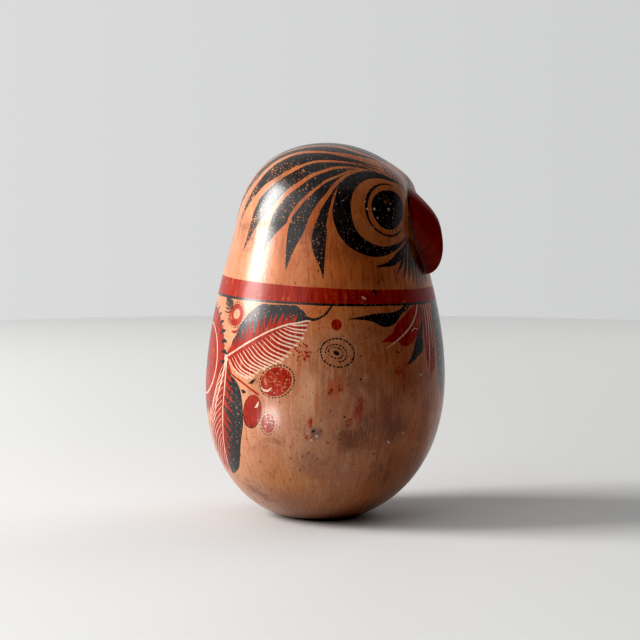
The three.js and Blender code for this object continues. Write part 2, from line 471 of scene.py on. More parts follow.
BLADE_RIGHT = [(-130, 141.5), (-127.5, 147), (-125.5, 150.2), (-122.5, 152), (-120, 154.6),
    (-118.1, 158.4), (-117, 163.5), (-116.8, 169.8), (-117.2, 176.2), (-118.8, 181.6), (-120.6, 187),
    (-122.5, 192.5), (-125, 197.6), (-127.5, 201.2), (-132.5, 204.4), (-136.5, 205.9), (-139.4, 206)]
BLADE_LEFT = [(-130, 141.5), (-132.5, 147), (-135, 153), (-139, 160), (-144, 168), (-148, 177),
    (-150, 186), (-149.5, 195), (-146, 202), (-139.4, 206)]


def large_leaf():
    """A leaf with a black half over its spine and a red half with cream barbs under it."""
    blade(BLACK, LEAF_SPINE, LEAF_TOP)
    shares = np.linspace(0, 1, 16)
    low = [path_point(LEAF_LOW, t) * 0.93 + path_point(LEAF_SPINE, t) * 0.07 for t in shares]
    blade(RED, LEAF_SPINE, low)
    barbs(RED, LEAF_SPINE, LEAF_TOP, 13, 0.14, 0.62, 3.4, 0.5, first=0, last=0.84)
    barbs(WHITE, LEAF_SPINE, LEAF_LOW, 22, 0.30, 1, 0.35, 1.05, first=-0.02, last=0.88, start=0.14,
        curl=0.12)
    brush(WHITE, along(LEAF_SPINE, (1.1, 1, 1, 1, 0.9, 0.9, 0.9, 0.9, 0.8, 0.7, 0.5)))
    brush(BLACK, [(-84.6, 118.6, 1.6), (-82, 119.3, 1.5), (-79.2, 118.7, 1.2), (-75.8, 116.6, 1.1),
        (-73.6, 113.8, 1.1), (-71.5, 110.8, 0.9)])


def hanging_leaf():
    """The leaf that hangs from the same node."""
    blade(RED, BLADE_SPINE, BLADE_LEFT)
    blade(BLACK, BLADE_SPINE, BLADE_RIGHT)
    barbs(RED, BLADE_SPINE, BLADE_RIGHT, 11, 0.16, 0.5, 4.2, 0.6, first=0, last=0.85)
    barbs(WHITE, BLADE_SPINE, BLADE_LEFT, 17, 0.30, 0.98, 0.3, 0.6, first=-0.02, last=0.87, start=0.08,
        curl=0.1)
    brush(WHITE, along(BLADE_SPINE, (1.2, 1.1, 1.1, 1, 0.9, 0.9, 0.8, 0.7, 0.4)))
    brush(WHITE, [(-130.6, 142.5, 1.6), (-132, 149.8, 1.3), (-134.4, 157, 1.2), (-138.5, 166, 1),
        (-142, 176, 0.6)])
    oval(WHITE, -130.4, 141.6, 2, 1.6, 20, 0.1)


def berries():
    """A twig of berries, and the bud and hatching over the leaf."""
    brush(RED, [(-127, 148.5, 0.8), (-123, 150.6, 1), (-118.8, 152.4, 1), (-113, 155.6, 1),
        (-107.8, 158.6, 1.2)])
    for root, one, other, tip in (
        ((-113.6, 153.4), (-111.5, 151.6), (-111.4, 153.6), (-109.2, 150.6)),
        ((-118, 157.2), (-116.3, 156.8), (-116.6, 158.9), (-114.6, 158.2)),
    ):
        blade(BLACK, [root, one, tip], [root, other, tip])
    # The large speckled one.
    oval(RED, -98.6, 151.6, 9, 7.2, -24)
    speckle(CLAY, -97, 151, 8.6, 7, -24, 90, 0.2, 0.75)
    dots(BLACK, -98.3, 151.4, 9.9, 8.2, -24, 1.75, 0.62)
    brush(WHITE, [(-106.2, 154.9, 0.5), (-104.6, 156.2, 1.1), (-102.4, 156.4, 1.1), (-100.6, 154.8, 0.5)])
    # The solid one.
    oval(BLACK, -111.2, 168, 6, 9.2, 14)
    oval(RED, -111.2, 167.8, 5.6, 8.8, 14)
    brush(WHITE, [(-109.4, 165.6, 0.6), (-108.2, 164.6, 1.5), (-107.4, 162.4, 0.5)])
    # The small speckled ones.
    oval(RED, -102.4, 173.4, 3.9, 5.2, 10)
    speckle(CLAY, -102.4, 173.4, 3.8, 5, 10, 34, 0.2, 0.6)
    dots(BLACK, -102.4, 173.4, 4.8, 6.3, 10, 1.7, 0.52)
    speckle(RED, -86.4, 136, 4.8, 4.8, 0, 75, 0.25, 0.75)
    # The flower bud, and the tuft of hatching beside it.
    dots(BLACK, -127, 118.6, 7, 6.7, 0, 1.8, 0.6)
    oval(RED, -127, 118.6, 6.2, 5.9, 0, 0.05)
    oval(CLAY, -126.6, 118.2, 2.9, 2.8, 0, 0.1)
    dots(WHITE, -126.6, 118.2, 1.7, 1.6, 0, 1.5, 0.5)
    brush(RED, [(-128.5, 127.4, 0.6), (-125.5, 127.6, 1.5), (-122.6, 124.8, 0.5)])
    for k in range(9):
        b, d = -139.5 + 0.95 * k, 107.5 + 0.5 * k
        brush(BLACK, [(b, d, 0.4), (b + 0.9, d + 3.2, 0.9), (b + 0.4, d + 6.4, 0.4)])
    for k in range(5):
        brush(BLACK, [(-139.8 + k * 0.3, 109.2 + 2.1 * k, 0.4), (-134, 110.4 + 1.9 * k, 0.7),
            (-130.8, 109.8 + 1.6 * k, 0.3)])


def rings():
    """The dotted rings, and the dot over them, on the side."""
    oval(RED, -70.2, 122, 2.6, 3, 0, 0.08)
    dots(BLACK, -69.8, 136.2, 8.7, 7.2, 14, 1.75, 0.78)
    dots(BLACK, -70.4, 136.4, 5.6, 4.3, 20, 1.6, 0.6, 0.45, 1.2)
    dots(BLACK, -70.6, 136.2, 3.8, 2.7, 20, 1.5, 0.62)
    oval(BLACK, -70.4, 136.3, 1.7, 1.1, 25, 0.15)


def chest_fan():
    """The feathers that hang from the collar beside the middle one."""
    blade(RED, [(-20.6, 112), (-25.8, 114.4), (-29.2, 116.2), (-33.3, 118.9), (-36.7, 121.2),
        (-39.2, 123.5), (-40.8, 126.2), (-44.2, 128.9), (-48.4, 131.6)],
        [(-20.6, 112), (-20.4, 116.2), (-21.7, 121.6), (-23.3, 127), (-25.8, 129.8), (-29.2, 133),
         (-33.3, 134.4), (-36.7, 133.9), (-38.6, 131.8), (-43.3, 131.6), (-48.4, 131.6)])
    brush(WHITE, [(-21.2, 112.6, 0.8), (-23.3, 117, 0.9), (-26.7, 121.6, 0.9), (-30, 124.8, 0.9),
        (-34.2, 128, 0.9), (-38.3, 130.7, 0.8), (-45.2, 134.7, 0.4)])
    brush(WHITE, [(-23.8, 126.4, 0.3), (-26.6, 125.6, 0.6), (-29, 127, 0.4)])
    blade(BLACK, [(-29.6, 112.6), (-32.5, 113.4), (-35, 115), (-40.8, 116.4), (-50, 116.6),
        (-55, 117.4), (-60, 118.2), (-65.4, 119.1)],
        [(-29.6, 112.6), (-31.8, 115.4), (-34.2, 117.4), (-36.7, 119.6), (-39.6, 122.4), (-43.3, 123.7),
         (-46.7, 123.5), (-50, 121.8), (-53.3, 120.4), (-59.2, 119.5), (-65.4, 119.1)])
    brush(BLACK, [(-27.2, 112.2, 0.6), (-29.5, 114.2, 1), (-33, 116.6, 0.5)])
    blade(BLACK, [(-19.6, 113), (-20.4, 119.8), (-21.7, 124.4), (-25, 128.9), (-26.7, 131.6),
        (-28.8, 136.2), (-30.8, 139.8), (-34.2, 144.4)],
        [(-19.6, 113), (-18.8, 118), (-19.4, 123.5), (-20.9, 129.8), (-21.2, 135.3), (-22.5, 138),
         (-25.8, 139.8), (-29.2, 142.5), (-34.2, 144.4)])
    blade(RED, [(-13.5, 111.5), (-17, 114), (-18.4, 121), (-19.2, 130), (-19.2, 139), (-18.2, 146),
        (-14.5, 151)],
        [(-13.5, 111.5), (-11.4, 114), (-9.8, 121), (-9.6, 130), (-10, 139), (-11, 146), (-14.5, 151)])
    brush(WHITE, [(-13, 113, 0.8), (-13.8, 125, 0.9), (-15.6, 138, 0.8), (-17.4, 148.5, 0.4)])
    brush(WHITE, [(-15.4, 114, 0.6), (-16.4, 125, 0.7), (-17.6, 135, 0.4)])
    brush(WHITE, [(-11.6, 117, 0.5), (-11.4, 126, 0.6), (-12.4, 137, 0.4)])
    brush(BLACK, [(-39.9, 135.6, 0.3), (-39.2, 137.2, 0.9), (-37.9, 137.6, 0.3)])


def centre_leaf():
    edge = [(0, 111.5), (-5.4, 114), (-8.2, 122), (-7.6, 133), (-8.2, 145), (-6.6, 155), (0, 166)]
    blade(BLACK, edge, [(-b, d) for b, d in edge])
    spine = [(0, 112), (0, 138), (0, 162)]
    barbs(CLAY, spine, edge[1:-1], 6, 0.12, 0.7, 0.4, 0.7, first=0.1, last=0.8, start=0.25)


def wear():
    """Old stains and chips on the belly."""
    stains = [(-59, 163.5, 1.5, 5.2), (-63.8, 172.3, 1.9, 2.3), (-81.8, 172.2, 1.2, 2.6),
        (-73, 156, 1.3, 1.6), (-68.4, 154.4, 1, 2.2), (-39, 147, 2.2, 2.6), (-35.6, 156.5, 1.2, 2.4),
        (-82.5, 180.5, 1.4, 1.8)]
    for b, d, wide, tall in stains:
        speckle(RED, b, d, wide, tall, 0, int(12 + 7 * wide * tall), 0.15, 0.55)
    spots = [(-80.2, 176.6, 0.8), (-58.8, 150, 0.5), (-66, 169.2, 0.6), (-79.6, 94, 0.4),
        (-86.8, 199, 0.5), (-62.5, 177, 0.4), (-49, 190, 0.5), (-78, 192, 0.5), (-104, 186, 0.4),
        (-46.5, 100.5, 0.4), (-62, 108, 0.35)]
    for b, d, size in spots:
        oval(BLACK, b, d, size, size * rng.uniform(0.8, 1.6), rng.uniform(0, 90), 0.2)
    chips = [(-24.6, 149.8, 1.1, 0.6), (-41.9, 184, 1.3, 0.6), (-33.8, 180, 1, 0.4),
        (-78.6, 179.2, 1, 0.8), (-81.2, 181.4, 0.8, 0.8), (-55.8, 108.4, 1.5, 0.6)]
    for b, d, wide, tall in chips:
        oval(WHITE, b, d, wide, tall, 30, 0.2)


def collar_top(bearing):
    return 102.2 + 3.1 * math.cos(math.radians(bearing))


def collar_foot(bearing):
    return 110.5 + 1.8 * math.cos(math.radians(bearing))


# The head: feathers, eyes and bristles

# (bearing, down, width) along each feather of the head, and along the clay line between two.
GAPS = [
    [(-13, 34, 0.5), (-20, 28, 0.9), (-28, 24, 1.2), (-35, 20, 1.5), (-47, 15.5, 1.8), (-68, 13.5, 2),
     (-105, 14, 2.4), (-135, 20, 2.8), (-151, 31, 3), (-159, 44, 2.5), (-164, 58, 0)],
    [(-23, 39, 0.5), (-29, 36, 0.9), (-40, 32, 1.2), (-54, 28, 1.5), (-71, 24, 2), (-87, 23, 2.7),
     (-108, 23.5, 3.1), (-123, 27.5, 3.5), (-132, 32.5, 3.4), (-139, 40, 2.5), (-145, 49, 0)],
    [(-28, 41, 0.5), (-37, 38, 0.8), (-44, 35.5, 1.1), (-57, 33.3, 1.4), (-72, 32.2, 1.8),
     (-85, 32.6, 1.9), (-96, 35.2, 1.9), (-105, 39.8, 2.2), (-114, 44.5, 2.5), (-121, 50, 2),
     (-126.5, 57, 0)],
    [(-30, 42.6, 0.5), (-39, 39.6, 0.8), (-46, 38.2, 1.2), (-54, 37.3, 1.5), (-68, 37.5, 1.8),
     (-77, 39.6, 2), (-87, 42.8, 2.4), (-95, 47.6, 2.7), (-103, 53, 2.8), (-108, 58.5, 2.3),
     (-111.5, 65, 0)],
    [(-39, 39.8, 0.7), (-46, 39.3, 1.1), (-55, 39.6, 1.2), (-66, 43, 1.4), (-76, 46.4, 1.5),
     (-80, 49, 1.5), (-85, 52.4, 1.6), (-91, 57.4, 2), (-94.6, 61.2, 2.2), (-98, 65.6, 1.8),
     (-101, 71, 0)],
    [(-46, 39.6, 0.8), (-56, 41.3, 1.2), (-63, 44.4, 1.8), (-70, 49.4, 2.2), (-75, 55, 2.2),
     (-79, 60, 2.2), (-83, 65, 1.7), (-86.5, 70, 0)],
]

FEATHERS = [
    [(-15, 33, 0.6), (-28, 28.5, 2.5), (-38, 25.5, 4), (-52, 21, 6.5), (-70, 18.6, 9),
     (-100, 18.4, 8.6), (-127, 23.5, 9), (-140, 33, 8.6), (-148, 44, 7.4), (-153, 54, 5.4),
     (-157, 63, 3), (-160, 72, 0)],
    [(-24, 38.4, 0.6), (-35, 34.4, 2.4), (-47, 31.4, 4), (-63, 29, 5.8), (-76, 28, 7.4), (-90, 28, 8.8),
     (-106, 30.4, 11), (-117, 35, 12), (-125, 41, 11), (-131, 47, 7.6), (-136, 54, 5.4),
     (-140, 60, 3.4), (-143, 65, 1.8), (-146, 72, 0)],
    [(-29, 41, 0.6), (-36, 37.4, 2), (-48, 35.4, 3.2), (-63, 34.8, 4.8), (-74, 35.6, 6.6),
     (-87, 38, 8.8), (-97, 41, 10.6), (-105, 46, 12.2), (-113, 51, 12.6), (-119, 58, 11.6),
     (-124, 65, 8.4), (-128.5, 73, 4.8), (-131, 80, 2), (-133, 86, 0)],
    [(-31, 42.4, 0.6), (-39, 39.2, 2), (-49, 37.8, 3), (-64, 39.2, 5.4), (-78, 43, 8), (-89, 49, 10.6),
     (-95, 54, 11.8), (-101, 61, 12), (-106, 67, 9.6), (-110.6, 74, 5.6), (-113.2, 80, 2.4),
     (-114.4, 86, 0)],
    [(-40, 39.8, 0.6), (-50, 39.6, 2), (-60, 41.4, 3), (-68, 44.6, 4.4), (-76, 49.4, 5.8),
     (-83, 55, 6.8), (-88.5, 61.5, 7.6), (-92.4, 68.5, 8.6), (-94.6, 74.5, 8.4), (-96.3, 80.5, 5.8),
     (-97.4, 87.5, 2.6), (-97.8, 94.4, 0)],
    [(-54, 42, 0.8), (-62, 46.2, 2.4), (-69, 51.6, 3.6), (-73.4, 57, 4), (-76.4, 63.3, 4.6),
     (-78.4, 70, 6.2), (-79.6, 76, 7.7), (-79.6, 81, 7.2), (-78.9, 86, 5.3), (-77.5, 92.5, 2.2),
     (-76.8, 98.8, 0)],
]

# Where the black has worn thin: bearing, down, half width, half height, tilt, specks.
WORN = [
    (-140, 59, 3.4, 12, 24, 170),
    (-153, 55, 4, 14, 22, 190),
    (-126, 70, 3.6, 13, 18, 130),
    (-112, 40, 15, 7, 20, 120),
    (-96, 58, 10, 12, 30, 90),
    (-80, 78, 4, 12, 0, 45),
    (-66, 60, 4, 10, 0, 40),
]


def feathers():
    """The black feathers that sweep back from the brow, and the broad ring round the eye."""
    for feather in FEATHERS:
        brush(BLACK, feather)
    for gap in GAPS:
        brush(CLAY, gap, 0.04)
    for b, d, wide, tall, tilt, count in WORN:
        speckle(CLAY, b, d, wide, tall, tilt, count, 0.16, 0.55)
    brush(BLACK, [(-21, 48.4, 0.3), (-27, 45.3, 2.4), (-33, 43, 3.8), (-40, 42.2, 4.8),
        (-48, 43.2, 5.8), (-55.6, 46.2, 6.9), (-61.4, 50.9, 8), (-64.6, 57, 8.9), (-65.4, 63.6, 9.5),
        (-64, 70.5, 9.6), (-60, 76.8, 9), (-54, 81.2, 8), (-47, 83.8, 6.7), (-40, 84.3, 5),
        (-33, 83, 3.4), (-26, 80.8, 2), (-18.8, 77.2, 0.3)])
    brush(CLAY, [(-67.6, 50.6, 0.3), (-70, 54.8, 1.1), (-71.5, 59, 1.4), (-73.2, 65, 1.7),
        (-74, 71, 2.6)])


def eye():
    """The ring, the pupil with its glints, and the strokes beside and under them."""
    brush(BLACK, [(-26.5, 50, 0.2), (-31.5, 48.3, 0.9), (-38, 48.8, 1.1), (-43.6, 51.6, 1.5),
        (-47.7, 56, 1.7), (-49.4, 61.5, 1.3), (-48.4, 67.5, 1.1), (-44.6, 72.2, 1), (-39, 75.4, 1),
        (-32.5, 76.4, 1.1), (-26.5, 75, 1.1), (-22, 72.4, 0.4)])
    oval(BLACK, -33.3, 62.1, 10.2, 10.7, 0, 0.012)
    glints = [(-44.2, 61.9, 0.7), (-48.9, 61.9, 0.6), (-42.6, 66.6, 0.5), (-34.2, 62.2, 0.6),
        (-32.6, 59.3, 0.5), (-31.4, 66.8, 0.35), (-49.8, 58, 0.5)]
    for b, d, size in glints:
        oval(WHITE, b, d, size, size * 1.1, 0, 0.15)
    brush(BLACK, [(-14.5, 53.5, 0.5), (-12.4, 58, 0.7), (-12, 63.5, 0.7), (-12.6, 70, 0.7),
        (-14.6, 75, 0.4)])
    # The dark stroke under the eye.
    brush(BLACK, [(-15, 78.6, 0.3), (-22, 82.4, 1.6), (-28, 86.4, 4.2), (-34, 90, 3.9), (-40, 91.6, 2),
        (-47.4, 92.4, 0.3)])


def bristles():
    """Fine strokes: the fan at the corner of the beak, and the hatched band on the brow."""
    fan = [
        ((-20, 78.5), (-28, 91), (-33, 96.4)),
        ((-17.5, 77.5), (-24.6, 91), (-28.6, 99)),
        ((-15.5, 77.5), (-21.6, 92), (-25, 101)),
        ((-14, 78), (-18.8, 92), (-21.4, 103)),
        ((-12.5, 79), (-15.8, 93), (-18, 103.5)),
        ((-11, 80), (-12.8, 94), (-14.6, 103.5)),
        ((-9.5, 82), (-9.6, 94), (-11, 103)),
        ((-8, 85), (-6, 94), (-6.4, 102)),
    ]
    for a, b, c in fan:
        brush(BLACK, [(*a, 0.7), (*b, 1.95), (*c, 0.5)])
    for a, b, c in fan[:-1]:
        brush(BLACK, [(a[0] - 0.9, a[1] + 1, 0.4), (b[0] + 1.6, b[1] - 1, 0.75),
            (c[0] + 1.9, c[1] - 2, 0.2)])
    for k in range(5):
        brush(BLACK, [(-12 + 0.8 * k, 90 + 2 * k, 0.3), (-9.5 + 1.6 * k, 97 + k, 0.8),
            (-8.5 + 2 * k, 102.5, 0.3)])
    for line in (
        [(-20, 33, 0.5), (-17, 37, 0.7), (-15.5, 41.5, 0.7), (-13, 46, 0.7), (-8, 49.8, 0.5)],
        [(-24, 37.5, 0.5), (-20.5, 41, 0.7), (-17, 45.2, 0.7), (-11, 50.6, 0.5)],
        [(-27, 40.5, 0.5), (-23.5, 43.4, 0.7), (-19.4, 47, 0.7), (-13, 52, 0.5)],
        [(-30, 42.4, 0.6), (-27, 44.2, 0.9), (-22.6, 46.6, 1), (-18.6, 49.6, 1), (-13.6, 53.2, 0.6)],
    ):
        brush(BLACK, line)
    for k in range(4):
        brush(BLACK, [(-13 + 2 * k, 42 + 2.2 * k, 0.4), (-10 + 2 * k, 44.5 + 2 * k, 1.3),
            (-6 + 1.6 * k, 46.5 + 1.6 * k, 0.4)])
    for k in range(7):
        a = (-17.5 + 2.1 * k, 34.2 + 1.9 * k)
        b = (-27.5 + 2 * k, 42.6 + 1.25 * k)
        brush(BLACK, [(*a, 0.3), ((a[0] + b[0]) / 2, (a[1] + b[1]) / 2 - 0.6, 0.6), (*b, 0.3)])


def crown_feather():
    edge = [(0, 35), (-14, 31), (-24, 24.5), (-36, 18.5), (-60, 13), (-100, 13), (-135, 19), (-152, 31),
        (-162, 45), (-170, 58), (-180, 71)]
    blade(BLACK, edge, [(-b, d) for b, d in edge])
    brush(CLAY, [(0, 30, 0.2), (0, 20, 0.7), (0, 8, 0.9)])
    brush(CLAY, [(180, 8, 0.9), (180, 25, 1.1), (180, 44, 1.4), (180, 60, 0.4)])


def paint_owl():
    for hand["side"], hand["shift"] in ((1.0, 0.0), (-1.0, -6.0)):
        flower()
        hanging_leaf()
        large_leaf()
        berries()
    for hand["side"], hand["shift"] in ((1.0, 0.0), (-1.0, 0.0)):
        rings()
        chest_fan()
    hand["side"], hand["shift"] = 1.0, 0.0
    centre_leaf()
    loop(BLACK, lambda b: collar_foot(b) + 1.2)
    loop(RED, collar_foot)
    loop(CLAY, collar_top)
    wear()
    brush(BLACK, [(-51, 105.0, 0.4), (-49.4, 104.6, 1.4), (-48.8, 106, 1.2), (-50.6, 107.4, 0.3)])
    crown_feather()
    for hand["side"] in (1.0, -1.0):
        feathers()
        eye()
        bristles()
    hand["side"] = 1.0


paint_owl()

# --- The beak's lump, and where it meets the face ---

BEAK_MIDDLE = HEIGHT - 45.5
BEAK_LENGTH = 47.0
BEAK_BOTTOM, BEAK_TOP = BEAK_MIDDLE - BEAK_LENGTH / 2, BEAK_MIDDLE + BEAK_LENGTH / 2
BEAK_WIDTH = 20.8
BEAK_DEPTH = 13.5
BEAK_ROOT = 5.0


def beak_section(height):
    """Half width, half depth and middle of the lump's level section."""
    u = np.clip((height - BEAK_MIDDLE) / (BEAK_LENGTH / 2), -0.9999, 0.9999)
    full = 1 - u * u
    out = BEAK_DEPTH * full ** np.where(u > 0, 1.5, 0.58)
    up = (u + 1) / 2
    half_width = BEAK_WIDTH / 2 * 1.32 * up**0.8 * np.sqrt(1 - up**8)
    half_depth = out + BEAK_ROOT * np.sqrt(full)
    down = down_at(height)
    face = radius_at(down) + relief(0.0, radius_at(down), height)
    return half_width, half_depth, face + out - half_depth


def beak_point(height, turn):
    """A point of the lump: turn is 0 in front and grows towards the owl's left."""
    half_width, half_depth, middle = beak_section(height)
    x = half_width * np.sin(turn)
    y = -(middle + half_depth * np.cos(turn))
    return np.stack([x, y - sway(height), height + 0 * x], -1)


def above_face(point):
    """How far a point stands out from the skin."""
    x, y, z = point[..., 0], point[..., 1] + sway(point[..., 2]), point[..., 2]
    bearing, radius = np.degrees(np.arctan2(x, -y)), np.hypot(x, y)
    base = radius_at(down_at(z))
    return radius - base - relief(bearing, base, z)


def beak_contact(height):
    """The turn at which the lump's section meets the face."""
    low, high = np.zeros_like(height), np.full_like(height, math.pi)
    for _ in range(40):
        half = (low + high) / 2
        outside = above_face(beak_point(height, half)) > 0
        low, high = np.where(outside, half, low), np.where(outside, high, half)
    return low


contact_heights = np.linspace(BEAK_BOTTOM + 0.15, BEAK_TOP - 0.15, 60)
contact = beak_point(contact_heights, beak_contact(contact_heights))
contact_bearing = np.degrees(np.arctan2(contact[:, 0], -(contact[:, 1] + sway(contact[:, 2]))))
contact_down = down_at(contact[:, 2])


def paint_beak_line():
    """A dark line round the beak, on the face."""
    margin = 0.9
    reach = contact_bearing + np.degrees(margin / radius_at(contact_down))
    left, right = (np.stack([side * reach, contact_down], -1) for side in (-1, 1))
    ends = np.array([[0, contact_down[0] + 1.3]]), np.array([[0, contact_down[-1] - 0.8]])
    ring = np.vstack([ends[0], right, ends[1], left[::-1]])
    strokes.append((BLACK, to_chart(ring[:, 0], ring[:, 1])))


paint_beak_line()

# --- The skin's mesh ---


def filler(spacing, keep_off=0.0):
    """Places spread evenly over the skin, between the crown and the foot's opening, at least
    keep_off millimetres from the seam and the crown."""
    rows = int(LENGTH / (spacing * 0.9))
    spots = [(0.0, 0.0)] if keep_off == 0 else []
    for k in range(1, rows):
        down = LENGTH * k / rows
        around = 2 * math.pi * float(radius_at(down))
        count = max(6, int(around / spacing / 2) * 2)
        for i in range(count):
            bearing = -180 + 360 * (i + 0.5 * (k % 2)) / count
            if abs(math.cos(math.radians(bearing))) * float(radius_at(down)) > max(keep_off, 0.9):
                spots.append((bearing, down))
    return to_chart(*np.array(spots).T)


def seam_places(spacing):
    """Places along the seam, from the opening on one side over the crown to the other."""
    downs = np.linspace(0, LENGTH, int(LENGTH / spacing) + 1)
    one = to_chart(np.full(len(downs), -90.0), downs)
    other = to_chart(np.full(len(downs) - 1, 90.0), downs[1:])
    places = np.vstack([one[::-1], other])
    places[:, 1] = 0.0
    return places


def opening_places(count=120):
    bearings = -90 + 360 * np.arange(count) / count
    return to_chart(bearings, np.full(count, LENGTH))


def triangulated(points, edges):
    made = geometry.delaunay_2d_cdt([Vector(p) for p in points], edges, [], 0, 1e-7)
    return np.array([v[:] for v in made[0]]), np.array(made[2], int)


def inside(polygon, spots):
    """Which spots are inside a closed outline."""
    x, y = spots[:, 0], spots[:, 1]
    found = np.zeros(len(spots), bool)
    ax, ay = polygon[:, 0], polygon[:, 1]
    bx, by = np.roll(ax, -1), np.roll(ay, -1)
    for i in range(len(polygon)):
        crosses = (ay[i] > y) != (by[i] > y)
        if crosses.any():
            at = (bx[i] - ax[i]) * (y - ay[i]) / (by[i] - ay[i]) + ax[i]
            found ^= crosses & (x < at)
    return found


def painted_skin():
    """Chart points, triangles and the colour of each triangle."""
    points, edges = [], []

    def add_run(run, closed):
        start = sum(len(p) for p in points)
        points.append(run)
        edges.extend((start + i, start + i + 1) for i in range(len(run) - 1))
        if closed:
            edges.append((start + len(run) - 1, start))

    for _, ring in strokes:
        add_run(ring, True)
    add_run(seam_places(2.5), False)
    add_run(opening_places(), True)
    drawn = np.vstack(points)
    on_skin = place(*from_chart(drawn))
    tree = kdtree.KDTree(len(on_skin))
    for i, p in enumerate(on_skin):
        tree.insert(p, i)
    tree.balance()
    loose = filler(2.6)
    spots = place(*from_chart(loose))
    free = [i for i, p in enumerate(spots) if tree.find(p)[2] > 1.0]
    points.append(loose[free])
    xy, triangles = triangulated(np.vstack(points), edges)
    middles = xy[triangles].mean(axis=1)
    colours = np.zeros(len(triangles), int)
    for colour, ring in strokes:
        low, high = ring.min(axis=0), ring.max(axis=0)
        near = np.flatnonzero(((middles >= low) & (middles <= high)).all(axis=1))
        if len(near):
            colours[near[inside(ring, middles[near])]] = colour
    return xy, triangles, colours


def boundary_loop(triangles):
    """The outer edge of a patch of triangles, as one closed run of vertices."""
    seen = {edge for a, b, c in triangles.tolist() for edge in ((a, b), (b, c), (c, a))}
    ahead = {u: v for u, v in seen if (v, u) not in seen}
    start = min(ahead)
    run = [start]
    while ahead[run[-1]] != start:
        run.append(ahead[run[-1]])
    return run


def scene_object(name, data):
    made = bpy.data.objects.new(name, data)
    bpy.context.scene.collection.objects.link(made)
    return made


def mesh_object(name, vertices, faces, normals, face_slots, materials):
    mesh = bpy.data.meshes.new(name)
    mesh.from_pydata((vertices * MM).tolist(), [], faces)
    for material in materials:
        mesh.materials.append(material)
    mesh.polygons.foreach_set("material_index", face_slots)
    mesh.polygons.foreach_set("use_smooth", [True] * len(mesh.polygons))
    mesh.update()
    if normals is not None:
        mesh.normals_split_custom_set_from_vertices(normals.tolist())
    return scene_object(name, mesh)


def outward_skin(xy):
    """Points of the skin and their normals, which point out of the body."""
    points, normals = skin(xy)
    middle = np.array([0, 0, HEIGHT / 2])
    return points, -normals if (normals * (points - middle)).sum() < 0 else normals


def along_normals(points, triangles, normals):
    """How far each triangle's own normal goes the way of its first vertex's."""
    a, b, c = (points[triangles[:, k]] for k in range(3))
    return (np.cross(b - a, c - a) * normals[triangles[:, 0]]).sum(axis=1)


def half(name, front, materials):
    """One half of the body: painted skin outside, raw clay inside, closed round its edge."""
    mine = (chart_xy[chart_triangles].mean(axis=1)[:, 1] < 0) == front
    colours = chart_colours[mine]
    used, index = np.unique(chart_triangles[mine], return_inverse=True)
    triangles, xy = index.reshape(-1, 3), chart_xy[used]
    a, b, c = (xy[triangles[:, k]] for k in range(3))
    turned = (b[:, 0] - a[:, 0]) * (c[:, 1] - a[:, 1]) - (b[:, 1] - a[:, 1]) * (c[:, 0] - a[:, 0])
    triangles = np.where((turned < 0)[:, None], triangles[:, ::-1], triangles)
    outer, outer_normal = outward_skin(xy)
    if along_normals(outer, triangles, outer_normal).sum() < 0:
        triangles = triangles[:, ::-1]
    rim = boundary_loop(triangles)
    count = len(rim)
    loose = filler(9.0, 6.0)
    loose = loose[(loose[:, 1] < 0) == front]
    rim_edges = [(i, (i + 1) % count) for i in range(count)]
    inner_xy, inner_triangles = triangulated(np.vstack([xy[rim], loose]), rim_edges)
    inner, inner_normal = outward_skin(inner_xy)
    inner = inner - inner_normal * WALL
    away = along_normals(inner, inner_triangles, inner_normal) > 0
    inner_triangles = np.where(away[:, None], inner_triangles[:, ::-1], inner_triangles)
    base = len(outer)
    faces = triangles.tolist() + (inner_triangles + base).tolist()
    faces += [[rim[j], rim[i], base + i, base + j] for i, j in rim_edges]
    slots = colours.tolist() + [RAW] * (len(faces) - len(colours))
    normals = np.vstack([outer_normal, -inner_normal])
    return mesh_object(name, np.vstack([outer, inner]), faces, normals, slots, materials)


# --- Materials ---


